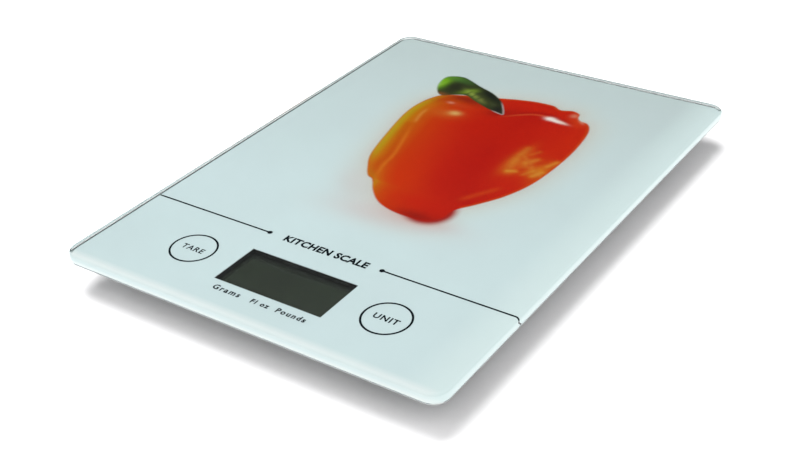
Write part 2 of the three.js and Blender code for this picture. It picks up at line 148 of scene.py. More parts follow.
# ---------- Node materials ----------
class Nodes:
    """A material's node tree, with short ways to add and join nodes."""

    def __init__(self, name):
        self.material = bpy.data.materials.new(name)
        self.material.use_nodes = True
        self.tree = self.material.node_tree
        self.tree.nodes.clear()
        self.output = self.add("ShaderNodeOutputMaterial")

    def add(self, kind, **settings):
        node = self.tree.nodes.new(kind)
        for key, value in settings.items():
            setattr(node, key, value)
        return node

    def join(self, source, target):
        self.tree.links.new(source, target)

    def shader(self, roughness=0.5, metallic=0.0, **values):
        node = self.add("ShaderNodeBsdfPrincipled")
        node.inputs["Roughness"].default_value = roughness
        node.inputs["Metallic"].default_value = metallic
        for key, value in values.items():
            node.inputs[key.replace("_", " ")].default_value = value
        return node

    def noise(self, size_mm, detail=3.0, stretch=(1, 1, 1)):
        """Noise whose lumps are about size_mm across, fixed to the piece."""
        place = self.add("ShaderNodeTexCoord")
        mapping = self.add("ShaderNodeMapping")
        mapping.inputs["Scale"].default_value = stretch
        texture = self.add("ShaderNodeTexNoise")
        texture.inputs["Scale"].default_value = 1 / (size_mm * MM)
        texture.inputs["Detail"].default_value = detail
        self.join(place.outputs["Object"], mapping.inputs["Vector"])
        self.join(mapping.outputs["Vector"], texture.inputs["Vector"])
        return texture.outputs["Fac"]

    def spread(self, factor, low, high, start=0.3, end=0.7):
        """Low where the factor is at the start or short of it, high at the end and past it."""
        node = self.add("ShaderNodeMapRange")
        for key, value in (("From Min", start), ("From Max", end), ("To Min", low), ("To Max", high)):
            node.inputs[key].default_value = value
        self.join(factor, node.inputs["Value"])
        return node.outputs["Result"]

    def fade(self, place, start_mm, end_mm):
        """0 up to the start and 1 past the end, which may lie on either side of the start."""
        return self.spread(place, 0, 1, start_mm * MM, end_mm * MM)

    def either(self, first, second):
        """The larger of two values."""
        node = self.add("ShaderNodeMath", operation="MAXIMUM")
        self.join(first, node.inputs[0])
        self.join(second, node.inputs[1])
        return node.outputs[0]

    def mix_shaders(self, factor, first, second):
        node = self.add("ShaderNodeMixShader")
        self.join(factor, node.inputs[0])
        self.join(first.outputs[0], node.inputs[1])
        self.join(second.outputs[0], node.inputs[2])
        return node

    def place_along(self, axis):
        """The place along one of the piece's own axes, in metres."""
        place = self.add("ShaderNodeTexCoord")
        split = self.add("ShaderNodeSeparateXYZ")
        self.join(place.outputs["Object"], split.inputs[0])
        return split.outputs[axis]

    def blend(self, factor, first, second):
        """Mixes two colours, each a colour or another node's output, by factor."""
        node = self.add("ShaderNodeMix", data_type="RGBA")
        self.join(factor, node.inputs[0])
        for socket, value in ((node.inputs[6], first), (node.inputs[7], second)):
            if isinstance(value, bpy.types.NodeSocket):
                self.join(value, socket)
            else:
                socket.default_value = rgba(value)
        return node.outputs[2]

    def bump(self, height, depth_mm, target):
        node = self.add("ShaderNodeBump")
        node.inputs["Strength"].default_value = 1.0
        node.inputs["Distance"].default_value = depth_mm * MM
        self.join(height, node.inputs["Height"])
        self.join(node.outputs["Normal"], target)

    def finish(self, shader):
        self.join(shader.outputs[0], self.output.inputs["Surface"])
        return self.material


def grained(name, dark, light, rough, grain_mm, depth_mm, stretch=(1, 1, 1), **values):
    """A material with broad colour variation, fine grain in its relief, and uneven gloss."""
    nodes = Nodes(name)
    shader = nodes.shader(**values)
    broad = nodes.noise(14, stretch=stretch)
    fine = nodes.noise(grain_mm, detail=4, stretch=stretch)
    nodes.join(nodes.blend(nodes.spread(broad, 0, 1), dark, light), shader.inputs["Base Color"])
    nodes.join(nodes.spread(fine, *rough), shader.inputs["Roughness"])
    nodes.bump(fine, depth_mm, shader.inputs["Normal"])
    return nodes.finish(shader)


def glass_material():
    """Clear glass with a faint green tint, with painted shade along its back and left edges. Shadows
    and soft light pass straight through it.
    """
    nodes = Nodes("clear_glass")
    glass = nodes.shader(IOR=1.5, Specular_IOR_Level=0.22)
    glass.inputs["Transmission Weight"].default_value = 1.0
    smudge = nodes.noise(22, detail=5)
    nodes.join(nodes.spread(smudge, 0.004, 0.02), glass.inputs["Roughness"])
    tint = nodes.blend(nodes.spread(smudge, 0, 1), GLASS, GLASS_SMUDGE)
    (left, _, _), (_, back, _) = box_mm("glass_plate")
    # Painted shade: the glass is tinted grey along its back and left edges.
    start, end = EDGE_SHADE_LINE
    to_left = nodes.fade(nodes.place_along(0), left + start, left + end)
    to_back = nodes.fade(nodes.place_along(1), back - start, back - end)
    for edge_shade in (to_left, to_back):
        tint = nodes.blend(edge_shade, tint, GLASS_EDGE_SHADE)
    nodes.join(tint, glass.inputs["Base Color"])
    clear = nodes.add("ShaderNodeBsdfTransparent")
    clear.inputs["Color"].default_value = rgba(GLASS)
    ray = nodes.add("ShaderNodeLightPath")
    through = nodes.either(ray.outputs["Is Shadow Ray"], ray.outputs["Is Diffuse Ray"])
    return nodes.finish(nodes.mix_shaders(through, glass, clear))


def film_material():
    """Screen-printed ink: the pale field, with painted light along its right and front edges, painted
    shade toward its back and round its edge, and the picture laid over it.
    """
    nodes = Nodes("printed_film")
    shader = nodes.shader(roughness=0.6, Specular_IOR_Level=0.0)
    cloud = nodes.noise(30)
    shade = [round(c * 0.985) for c in FILM]
    field = nodes.blend(nodes.spread(cloud, 0, 1), FILM, shade)
    across = nodes.place_along(0)
    along = nodes.place_along(1)
    # Painted shade: the field is greyer toward the back of the plate.
    field = nodes.blend(nodes.fade(along, *BACK_SHADE), field, FILM_BACK_SHADED)
    # Painted light: the field is lighter near the right and front edges, where light comes in through
    # the glass.
    field = nodes.blend(nodes.fade(across, *RIGHT_GLOW), field, FILM_RIGHT_LIT)
    field = nodes.blend(nodes.fade(along, *FRONT_GLOW), field, FILM_FRONT_LIT)
    # Painted shade: a dark line round the edge of the print, for the shade seen at the glass's edge.
    _, (right, back, _) = box_mm("printed_film")
    start, end = RIM_SHADE_LINE
    for place, half in ((across, right), (along, back)):
        size = nodes.add("ShaderNodeMath", operation="ABSOLUTE")
        nodes.join(place, size.inputs[0])
        rim = nodes.fade(size.outputs[0], half - start, half - end)
        field = nodes.blend(rim, field, FILM_RIM_SHADE)
    picture = nodes.add("ShaderNodeAttribute", attribute_name="picture")
    dots = nodes.noise(0.7, detail=2)
    mottle = nodes.add("ShaderNodeHueSaturation")
    nodes.join(nodes.spread(dots, 0.96, 1.04), mottle.inputs["Value"])
    nodes.join(picture.outputs["Color"], mottle.inputs["Color"])
    printed = nodes.blend(picture.outputs["Alpha"], field, mottle.outputs["Color"])
    nodes.join(printed, shader.inputs["Base Color"])
    nodes.bump(dots, 0.002, shader.inputs["Normal"])
    return nodes.finish(shader)


def display_material():
    """The switched-off display, darker where the window's back and left walls shade it."""
    nodes = Nodes("display_glass")
    shader = nodes.shader(Specular_IOR_Level=0.45)
    grain = nodes.noise(0.6, detail=4)
    face = nodes.blend(nodes.spread(nodes.noise(14), 0, 1), *DISPLAY)
    (left, _, _), (_, back, _) = box_mm("lcd_panel")
    to_left = nodes.fade(nodes.place_along(0), *(left + inset for inset in DISPLAY_LEFT))
    to_back = nodes.fade(nodes.place_along(1), *(back - inset for inset in DISPLAY_BACK))
    for shade in (to_left, to_back):
        face = nodes.blend(shade, face, DISPLAY_SHADED)
    nodes.join(face, shader.inputs["Base Color"])
    nodes.join(nodes.spread(grain, 0.18, 0.26), shader.inputs["Roughness"])
    nodes.bump(grain, 0.001, shader.inputs["Normal"])
    return nodes.finish(shader)


def make_materials():
    """Every material, by the slot that the record gives it."""
    made = {slot: grained(name, *finish, **rest) for slot, name, *finish, rest in FINISHES}
    made["glass"] = glass_material()
    made["print"] = film_material()
    made["display"] = display_material()
    return made


# ---------- Mesh helpers ----------
def new_piece(name, vertices, faces, material, smooth=True):
    """A mesh from points in millimetres, riding on the housing."""
    mesh = bpy.data.meshes.new(name)
    mesh.from_pydata([tuple(c * MM for c in v) for v in vertices], [], faces)
    mesh.validate()
    mesh.polygons.foreach_set("use_smooth", [smooth] * len(mesh.polygons))
    mesh.materials.append(material)
    made = bpy.data.objects.new(name, mesh)
    bpy.context.scene.collection.objects.link(made)
    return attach(made, "housing")


def on_circle(centre, radius, angle):
    return (centre[0] + radius * math.cos(angle), centre[1] + radius * math.sin(angle))


def circle(centre, radius, height, steps):
    """Points round a level circle."""
    return [(*on_circle(centre, radius, 2 * math.pi * i / steps), height) for i in range(steps)]


def rounded_loop(half_width, half_length, corner, steps=CORNER_STEPS):
    """Points round a rectangle with round corners, anticlockwise from the right."""
    points = []
    for turn, (sx, sy) in enumerate(((1, 1), (-1, 1), (-1, -1), (1, -1))):
        centre = (sx * (half_width - corner), sy * (half_length - corner))
        for i in range(steps + 1):
            angle = (turn + i / steps) * math.pi / 2
            points.append(on_circle(centre, corner, angle))
    return points


def rectangle(left, right, front, back):
    return [(left, front), (right, front), (right, back), (left, back)]


def bridge(rings, count):
    """Faces between rings of `count` points each, listed one after another."""
    faces = []
    for ring in range(rings - 1):
        for i in range(count):
            j = (i + 1) % count
            a, b = ring * count, (ring + 1) * count
            faces.append((a + i, b + i, b + j, a + j))
    return faces


def turned(name, profile, centre, material, sides=64):
    """A piece turned about a vertical axis, from (radius, height) points, axis to axis."""
    vertices = []
    for radius, height in profile:
        vertices += circle(centre, radius, height, sides)
    faces = bridge(len(profile), sides)
    faces.append(tuple(range(sides)))
    faces.append(tuple(reversed(range((len(profile) - 1) * sides, len(profile) * sides))))
    return new_piece(name, vertices, faces, material)


def box_mm(node):
    low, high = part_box(node)
    return [c / MM for c in low], [c / MM for c in high]


def middle(node):
    low, high = box_mm(node)
    return [(a + b) / 2 for a, b in zip(low, high)]


# ---------- The glass plate ----------
def build_glass(materials):
    """The plate, with its rounded edge built from (inset, height) points, top to bottom."""
    low, high = box_mm("glass_plate")
    half = (high[0], high[1])
    rim = [(EDGE_RADIUS + margin, high[2]) for margin in FLAT_MARGINS]
    angles = [math.pi / 2 * i / EDGE_STEPS for i in range(EDGE_STEPS + 1)]
    for angle in angles:
        inset = EDGE_RADIUS * (1 - math.sin(angle))
        rim.append((inset, high[2] - EDGE_RADIUS * (1 - math.cos(angle))))
    for angle in angles:
        inset = EDGE_RADIUS * (1 - math.cos(angle))
        rim.append((inset, low[2] + EDGE_RADIUS * (1 - math.sin(angle))))
    vertices = []
    for inset, height in rim:
        loop = rounded_loop(half[0] - inset, half[1] - inset, PLATE_CORNER - inset)
        vertices += [(x, y, height) for x, y in loop]
    count = len(loop)
    faces = [tuple(range(count))] + bridge(len(rim), count)
    first = len(vertices)
    vertices += [(x, y, low[2]) for x, y in rectangle(*window_box())]
    faces.append((first + 3, first + 2, first + 1, first))
    plate = new_piece("glass_polished", vertices, faces, materials["glass"])
    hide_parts("glass_plate")


def window_box():
    """Left, right, front and back of the clear window."""
    x, y, _ = middle("lcd_gasket")
    return (x - WINDOW[0] / 2, x + WINDOW[0] / 2, y - WINDOW[1] / 2, y + WINDOW[1] / 2)


# ---------- The printed picture ----------
# Outlines in millimetres on the plate. Each is a smooth curve through its points.
PEPPER_OUTLINE = [
    (-32, 63.5), (-35.2, 54), (-35.3, 42), (-31.5, 22.5), (-27.2, 6), (-22, -3.5), (-18.2, -8.6),
    (-14.8, -10.5), (-10, -17), (-3.4, -23), (4, -26), (12, -26.8), (20, -25.5), (24, -20.5),
    (24.8, -14.5), (30, -6.8), (35.8, 3), (40, 15), (41.8, 29), (42.2, 44), (41, 58), (39, 66.5),
    (36, 70.8), (32.2, 71.8), (30.2, 74), (29.2, 77), (25.5, 78.4), (20.5, 76.8), (16, 78.9),
    (8, 78.6), (1, 77), (-5, 75), (-12, 72.5), (-20.5, 69.8), (-27, 67.2),
]
LEFT_SIDE = PEPPER_OUTLINE[:8]
STEM_OUTLINE = [
    (-39.2, 80), (-37, 83.4), (-32, 84.8), (-27.5, 83.4), (-20.3, 80), (-13, 77.2), (-6.6, 73),
    (-2.4, 68.5), (1.6, 61.6), (-2.6, 61.8), (-9, 64), (-16, 67), (-21.5, 69.6), (-26, 68),
    (-31, 64.8), (-35, 67.5), (-38, 73),
]
CREASE = [(-12.5, -12), (-15.3, -6.5), (-17.6, 1.5), (-18.6, 9), (-20.8, 17), (-24, 27), (-26.6, 36)]
UPPER_CREASE = [(-26.8, 37), (-28.8, 44.5), (-29.3, 51.5)]
BACK_RIDGE = [(0, 58), (3.5, 61), (8, 64.8), (12.5, 67.6), (18.5, 68.6), (27, 66.8), (33, 66.5)]
# Soft streaks of light in the amber window: start, end, width, strength.
AMBER_STREAKS = [
    ((28, 18), (24.8, 33), 2.4, 0.32), ((26.4, 20.5), (30.4, 22.5), 1.5, 0.85),
    ((24.8, 33), (25.2, 42), 1.8, 0.32), ((29.5, 29), (33.5, 35), 1.6, 0.45),
    ((37, 21), (39.6, 27), 1.7, 0.75), ((38.4, 30), (41, 37), 1.6, 0.7),
    ((33, 20), (36.5, 27), 1.1, 0.3), ((28.5, 36), (31, 41), 1.3, 0.2),
]


def smooth_curve(points, closed, steps=7):
    """Catmull-Rom curve through the points."""
    pts = np.array(points, float)
    count = len(pts)
    spans = range(count) if closed else range(count - 1)
    made = []
    for i in spans:
        if closed:
            a, b, c, d = (pts[(i + k) % count] for k in (-1, 0, 1, 2))
        else:
            a, b, c, d = (pts[min(max(i + k, 0), count - 1)] for k in (-1, 0, 1, 2))
        for t in np.arange(steps) / steps:
            made.append(
                0.5 * (2 * b + (c - a) * t + (2 * a - 5 * b + 4 * c - d) * t * t
                       + (3 * b - a - 3 * c + d) * t ** 3)
            )
    if not closed:
        made.append(pts[-1])
    return np.array(made)


def distance_to(xy, curve, closed):
    """Distance from each point to the curve, negative inside it if it is closed."""
    best = np.full(len(xy), 1e9)
    inside = np.zeros(len(xy), bool)
    starts = curve if closed else curve[:-1]
    ends = np.roll(curve, -1, axis=0) if closed else curve[1:]
    for a, b in zip(starts, ends):
        along = b - a
        t = np.clip(((xy - a) @ along) / max(along @ along, 1e-12), 0, 1)
        best = np.minimum(best, np.hypot(*(xy - a - t[:, None] * along).T))
        if closed and a[1] != b[1]:
            crosses = (a[1] > xy[:, 1]) != (b[1] > xy[:, 1])
            reach = a[0] + (xy[:, 1] - a[1]) * along[0] / along[1]
            inside ^= crosses & (xy[:, 0] < reach)
    return np.where(inside, -best, best)


def smoothstep(low, high, value):
    t = np.clip((value - low) / (high - low), 0, 1)
    return t * t * (3 - 2 * t)


def ellipse(xy, centre, radii, tilt=0.0):
    """1 at the centre, falling smoothly to almost 0 past the radii."""
    angle = math.radians(tilt)
    dx, dy = xy[:, 0] - centre[0], xy[:, 1] - centre[1]
    u = (dx * math.cos(angle) + dy * math.sin(angle)) / radii[0]
    v = (dy * math.cos(angle) - dx * math.sin(angle)) / radii[1]
    return np.exp(-(u * u + v * v))


class Paint:
    """Ink colours and how far they cover the film, at every point of the picture."""

    def __init__(self, xy):
        self.xy = xy
        self.colour = np.tile(linear(FILM), (len(xy), 1))
        self.cover = np.zeros(len(xy))
        self.stencil = np.ones(len(xy))  # where ink may land, 0 to 1

    def lay(self, colour, amount):
        colour = linear(colour) if np.ndim(colour) == 1 else colour
        amount = np.clip(amount, 0, 1) * self.stencil
        total = amount + self.cover * (1 - amount)
        part = np.where(total > 1e-6, amount / np.maximum(total, 1e-6), 0)[:, None]
        self.colour = colour * part + self.colour * (1 - part)
        self.cover = total

    def spot(self, colour, strength, centre, radii, tilt=0.0):
        self.lay(colour, strength * ellipse(self.xy, centre, radii, tilt))

    def stroke(self, colour, strength, curve, width):
        """A soft line that fades toward both ends of the curve."""
        curve = np.array(curve, float)
        gap = distance_to(self.xy, curve, False)
        middle_place = (curve[0] + curve[-1]) / 2
        reach = np.hypot(*(curve[-1] - curve[0])) / 2 + width
        fade = smoothstep(1.0, 0.45, np.hypot(*(self.xy - middle_place).T) / reach)
        self.lay(colour, strength * np.exp(-((gap / width) ** 2)) * fade)


def ramp(value, stops):
    """Colours between (value, sRGB colour) stops."""
    places = [s[0] for s in stops]
    channels = np.array([linear(s[1]) for s in stops])
    return np.stack([np.interp(value, places, channels[:, c]) for c in range(3)], axis=1)


def paint_ground(paint, edge):
    """The soft grey halo, the shade under the pepper and its blurred reflection."""
    halo = np.exp(-((np.maximum(edge, 0) / 8) ** 2))
    paint.lay((218, 222, 217), 0.85 * halo)
    paint.lay((216, 208, 198), 0.5 * np.exp(-((np.maximum(edge, 0) / 3) ** 2)))
    paint.spot((219, 213, 211), 0.7, (-18, -16), (13, 8), -48)
    paint.spot((221, 208, 206), 0.8, (6, -30), (24, 8), 4)
    paint.spot((216, 150, 138), 0.5, (16, -26), (13, 4.5))
    paint.lay((172, 38, 30), smoothstep(0.2, 0.5, ellipse(paint.xy, (17, -18.5), (9.8, 9.8))))


def paint_body(paint, edge):
    """The flesh: bands of colour across it from its left side, then its shades and lights."""
    x, y = paint.xy.T
    side = smooth_curve(LEFT_SIDE, False)
    order = np.argsort(side[:, 1])
    across = x - np.interp(y, side[order, 1], side[order, 0])
    paint.stencil = smoothstep(0.35, -0.35, edge)
    paint.lay(ramp(across, [
        (0, (198, 178, 48)), (1.8, (192, 156, 22)), (4.5, (202, 116, 8)), (9, (205, 84, 6)),
        (14, (206, 58, 4)), (22, (206, 44, 8)), (32, (200, 30, 8)), (46, (193, 24, 8)),
        (58, (202, 30, 8)), (76, (207, 36, 8)),
    ]), np.ones(len(x)))

    # Broad changes of hue over the body, darker by the stem and underneath.
    paint.spot((214, 50, 3), 0.75, (-6, -4), (9, 20), 18)
    paint.spot((192, 16, 4), 0.4, (13, 20), (9, 24), -6)
    paint.spot((198, 26, 4), 0.6, (6, 46), (22, 9), -8)
    paint.spot((206, 28, 6), 0.6, (10, -16), (12, 6))
    paint.spot((188, 56, 8), 0.8, (-27, 62.5), (8, 5), 30)
    paint.spot((146, 34, 10), 0.95, (-19, 66.5), (11, 3.4), -8)
    paint.spot((212, 34, 4), 0.75, (14, 74), (15, 4))
    paint.spot((216, 70, 20), 0.5, (32, 69.5), (5, 3.5), -30)
    paint.spot((210, 40, 4), 0.5, (38, 54), (5, 18), -6)
    paint.spot((140, 22, 10), 0.6, (-1, 62), (5.5, 3), 34)
    paint.spot((150, 20, 8), 0.75, (15, -25), (9, 3.4))
    paint.lay((208, 84, 26), 0.5 * smoothstep(-1.8, -0.3, edge) * (y > -12))

    # The amber window, the creases and the ridge.
    paint.spot((210, 84, 12), 0.75, (-21, -1), (4.5, 8), 32)
    paint_amber(paint)
    crease = smooth_curve(CREASE, False)
    shade = distance_to(paint.xy, crease - (2.2, 0.6), False)
    paint.lay((196, 66, 4), 0.4 * np.exp(-((shade / 1.8) ** 2)))
    paint.stroke((226, 124, 30), 0.5, crease, 0.9)
    paint.stroke((224, 146, 60), 0.6, smooth_curve(UPPER_CREASE, False), 0.9)
    ridge = smooth_curve(BACK_RIDGE, False)
    paint.stroke((170, 18, 8), 0.5, ridge + (0.4, 1.8), 1.4)
    paint.stroke((222, 84, 44), 0.6, ridge, 0.7)
    paint.stroke((216, 74, 20), 0.5, [(22, -8), (26, -1), (32, 9)], 1.4)

    # Highlights.
    paint.spot((208, 100, 30), 0.7, (-20, 51), (6.5, 4), 6)
    paint.spot((232, 184, 108), 0.85, (-16.8, 52.9), (2.6, 1.9), 10)
    paint.spot((226, 150, 120), 0.8, (-23.5, 60.5), (1.6, 1.0))
    paint.spot((206, 70, 30), 0.5, (-19, 60), (5, 1.6))
    for place, radii, tilt in (((20.6, 67.6), (2.0, 1.4), 10), ((23.5, 67), (3.6, 1.1), -8)):
        paint.spot((255, 236, 228), 1.3, place, radii, tilt)
    paint.spot((250, 214, 200), 0.9, (26.4, 66.8), (2.4, 0.7), -12)
    paint.spot((238, 176, 150), 0.8, (32.5, 72.4), (2.6, 1.0), -52)
    paint.spot((232, 150, 120), 0.6, (28, 74.6), (1.6, 1.8))


def paint_amber(paint):
    """The amber window low on the right, with streaks of light in it."""
    paint.spot((212, 62, 6), 0.5, (28.5, 28), (5, 12), 4)
    paint.spot((212, 92, 14), 0.6, (38, 25), (4, 9), 10)
    paint.spot((214, 112, 30), 0.75, (25.6, 31), (2.3, 9.5), -4)
    paint.spot((216, 118, 34), 0.7, (31.5, 29), (5.2, 4.2), -50)
    paint.spot((222, 138, 30), 0.75, (37.2, 26.5), (2.4, 3.8), -34)
    for start, end, width, strength in AMBER_STREAKS:
        paint.stroke((212, 108, 22), 0.6 * strength, [start, end], 1.6 * width)
        paint.stroke((232, 168, 62), 0.55 * strength, [start, end], 0.7 * width)
    for i in range(9):
        start = (25.4 + 1.5 * i, 34.5 - 1.0 * i + 1.6 * math.sin(2.3 * i))
        end = (start[0] + 3.4, start[1] - 4.0 - 1.2 * math.cos(2.1 * i))
        colour = (222, 138, 50) if i % 3 else (200, 52, 10)
        paint.stroke(colour, 0.22, [start, end], 0.9)
    paint.spot((200, 40, 6), 0.5, (34.6, 31.5), (1.4, 4.0), -30)
    paint.spot((202, 46, 8), 0.5, (31.6, 24.2), (1.1, 2.6), -40)


def paint_stem(paint):
    """The cut stem, green at its outer end and dark where it meets the body."""
    edge = distance_to(paint.xy, smooth_curve(STEM_OUTLINE, True), True)
    paint.stencil = smoothstep(0.35, -0.35, edge)
    paint.lay((56, 62, 32), np.ones(len(edge)))
    paint.spot((124, 180, 30), 1.25, (-37.6, 76), (3.2, 7), -6)
    paint.spot((156, 192, 96), 0.7, (-38.2, 71.5), (1.5, 4), -8)
    paint.spot((88, 138, 52), 0.9, (-33.5, 82), (6.5, 2.6), -6)
    paint.spot((42, 46, 28), 1.0, (-29.5, 75), (4.2, 5.5), 8)
    paint.spot((60, 92, 44), 0.6, (-27, 81.5), (5, 2))
    paint.spot((120, 148, 44), 1.0, (-22, 73.8), (2.0, 4.4), -46)
    paint.spot((148, 166, 70), 0.85, (-19.5, 71.6), (5, 1.4), -30)
    paint.spot((120, 126, 62), 0.8, (-13.5, 68.6), (3.6, 1.5), -34)
    for offset in (-21, -17.5, -14, -10.5):
        paint.stroke((58, 66, 40), 0.55, [(offset, 75), (offset - 1.6, 68)], 0.6)
    paint.spot((28, 32, 24), 1.0, (-12, 74.5), (11, 2.2), -32)
    paint.spot((34, 34, 30), 0.95, (-2.6, 64), (5.2, 2.6), -52)
    paint.spot((74, 82, 50), 0.5, (-7, 67.5), (2.4, 1.4), -40)
    paint.lay((214, 190, 190), 0.75 * smoothstep(-0.9, -0.2, edge) * smoothstep(-6, -2, paint.xy[:, 0]))
    paint.spot((140, 84, 44), 0.8, (-32, 65.6), (4, 1.8))
    paint.lay((206, 220, 190), 0.4 * smoothstep(-0.7, -0.1, edge) * (paint.xy[:, 0] < -35))
    paint.stencil = np.ones(len(edge))


def field_polygons(outer, holes):
    """The flat area inside a rounded loop and outside rectangles (left, right, front, back), as
    polygons. The rectangles follow each other from front to back."""
    side = max(p[0] for p in outer)
    half = len(outer) // 2
    polygons = [[(-side, holes[0][2])] + outer[half:] + [(side, holes[0][2])]]
    for i, (left, right, front, back) in enumerate(holes):
        polygons.append(rectangle(-side, left, front, back))
        polygons.append(rectangle(right, side, front, back))
        if i + 1 < len(holes):
            polygons.append(rectangle(-side, side, back, holes[i + 1][2]))
    polygons.append([(side, holes[-1][3])] + outer[:half] + [(-side, holes[-1][3])])
    return polygons


def picture_grid():
    left, right, front, back = PICTURE_BOX
    columns = round((right - left) / PICTURE_STEP)
    rows = round((back - front) / PICTURE_STEP)
    x, y = np.meshgrid(np.linspace(left, right, columns + 1), np.linspace(front, back, rows + 1))
    xy = np.stack([x.ravel(), y.ravel()], axis=1)
    faces = []
    for row in range(rows):
        for column in range(columns):
            a = row * (columns + 1) + column
            faces.append((a, a + 1, a + columns + 2, a + columns + 1))
    return xy, faces


def build_film(materials):
    """The film: its flat field round the window and the picture, and the picture's fine grid."""
    low, high = box_mm("printed_film")
    top = high[2]
    outer = rounded_loop(high[0], high[1], PLATE_CORNER - PRINT_GAP)
    window = window_box()
    field, field_faces = [], []
    for polygon in field_polygons(outer, [window, PICTURE_BOX]):
        field_faces.append(tuple(range(len(field), len(field) + len(polygon))))
        field += polygon

    xy, grid_faces = picture_grid()
    paint = Paint(xy)
    edge = distance_to(xy, smooth_curve(PEPPER_OUTLINE, True), True)
    paint_ground(paint, edge)
    paint_body(paint, edge)
    paint_stem(paint)
    border = np.minimum.reduce([
        xy[:, 0] - PICTURE_BOX[0], PICTURE_BOX[1] - xy[:, 0],
        xy[:, 1] - PICTURE_BOX[2], PICTURE_BOX[3] - xy[:, 1],
    ])
    cover = paint.cover * smoothstep(0, PICTURE_FADE, border)

    offset = len(field)
    vertices = [(*p, top) for p in field] + [(*p, top) for p in xy]
    faces = field_faces + [tuple(offset + i for i in f) for f in grid_faces]
    film = new_piece("film_printed_side", vertices, faces, materials["print"], smooth=False)
    values = np.zeros((len(vertices), 4), np.float32)
    values[offset:, :3] = paint.colour
    values[offset:, 3] = cover
    layer = film.data.color_attributes.new("picture", "FLOAT_COLOR", "POINT")
    layer.data.foreach_set("color", values.ravel())
    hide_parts("printed_film")

    points, faces = [], []
    for polygon in field_polygons(outer, [window]):
        faces.append(tuple(reversed(range(len(points), len(points) + len(polygon)))))
        points += [(*p, low[2]) for p in polygon]
    for loop in (outer, rectangle(*window)[::-1]):
        first, count = len(points), len(loop)
        points += [(*p, low[2]) for p in loop] + [(*p, top - COAT_GAP) for p in loop]
        for i in range(count):
            j = (i + 1) % count
            faces.append((first + i, first + j, first + count + j, first + count + i))
    back = new_piece("film_back_coat", points, faces, materials["back_coat"], smooth=False)
    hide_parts("printed_film")


# ---------- Printed marks and lettering ----------
def ring(centre, radius, stroke, height, steps=72):
    points = circle(centre, radius - stroke / 2, height, steps)
    points += circle(centre, radius + stroke / 2, height, steps)
    faces = []
    for i in range(steps):
        j = (i + 1) % steps
        faces.append((i, j, steps + j, steps + i))
    return points, faces


def disc(centre, radius, height, steps=24):
    return circle(centre, radius, height, steps), [tuple(range(steps))]


def build_marks(materials):
    """The two key rings and the divider lines with their round ends."""
    height = box_mm("printed_film")[1][2] + INK_STEP
    key_y = middle("touch_electrode_left")[1]
    shapes = []
    for side in (-1, 1):
        shapes.append(ring((side * KEY_X, key_y), KEY_RADIUS, KEY_STROKE, height))
        line = sorted((side * DIVIDER["inner"], side * DIVIDER["outer"]))
        half = DIVIDER["stroke"] / 2
        corners = rectangle(line[0], line[1], DIVIDER_Y - half, DIVIDER_Y + half)
        shapes.append(([(*p, height) for p in corners], [(0, 1, 2, 3)]))
        shapes.append(disc((side * DIVIDER["inner"], DIVIDER_Y), DIVIDER["dot"], height + INK_STEP / 2))
    vertices, faces = [], []
    for points, polygons in shapes:
        faces += [tuple(len(vertices) + i for i in f) for f in polygons]
        vertices += points
    marks = new_piece("printed_marks", vertices, faces, materials["ink"], smooth=False)


LETTERING = [  # piece name, words, centre x, baseline y, width, letter spacing, weight
    ("lettering_title", "KITCHEN SCALE", 0.6, -62.4, 36.5, 1.06, 0.045),
    ("lettering_left_key", "TARE", -KEY_X, -84.3, 9.8, 1.15, 0.022),
    ("lettering_right_key", "UNIT", KEY_X, -84.3, 9.8, 1.15, 0.03),
    ("lettering_grams", "Grams", -13.8, -98.4, 11.8, 1.3, 0.032),
    ("lettering_ounces", "Fl oz", 0.7, -98.4, 7.7, 1.3, 0.045),
    ("lettering_pounds", "Pounds", 13.8, -98.4, 12.2, 1.3, 0.038),
]


def build_lettering(materials):
    height = (box_mm("printed_film")[1][2] + INK_STEP) * MM
    for name, words, x, y, width, spacing, weight in LETTERING:
        curve = bpy.data.curves.new(name + "_curve", "FONT")
        curve.body = words
        curve.space_character = spacing
        curve.offset = weight
        curve.resolution_u = 3
        curve.align_x = "CENTER"
        source = bpy.data.objects.new(name + "_source", curve)
        bpy.context.scene.collection.objects.link(source)
        bpy.context.view_layer.update()
        evaluated = source.evaluated_get(bpy.context.evaluated_depsgraph_get())
        mesh = bpy.data.meshes.new_from_object(evaluated)
        bpy.data.objects.remove(source)
        xs = [v.co.x for v in mesh.vertices]
        scale = width * MM / (max(xs) - min(xs))
        mesh.transform(Matrix.Translation((x * MM, y * MM, height)) @ Matrix.Scale(scale, 4))
        mesh.materials.clear()
        mesh.materials.append(materials["ink"])
        letters = bpy.data.objects.new(name, mesh)
        bpy.context.scene.collection.objects.link(letters)
        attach(letters, "housing")


# ---------- Feet ----------
def arc(centre, radius, start, end, steps=5):
    """Points of a profile's rounded corner, (radius, height), from angle start to end."""
    turns = [math.radians(start + (end - start) * i / steps) for i in range(steps + 1)]
    return [on_circle(centre, radius, turn) for turn in turns]


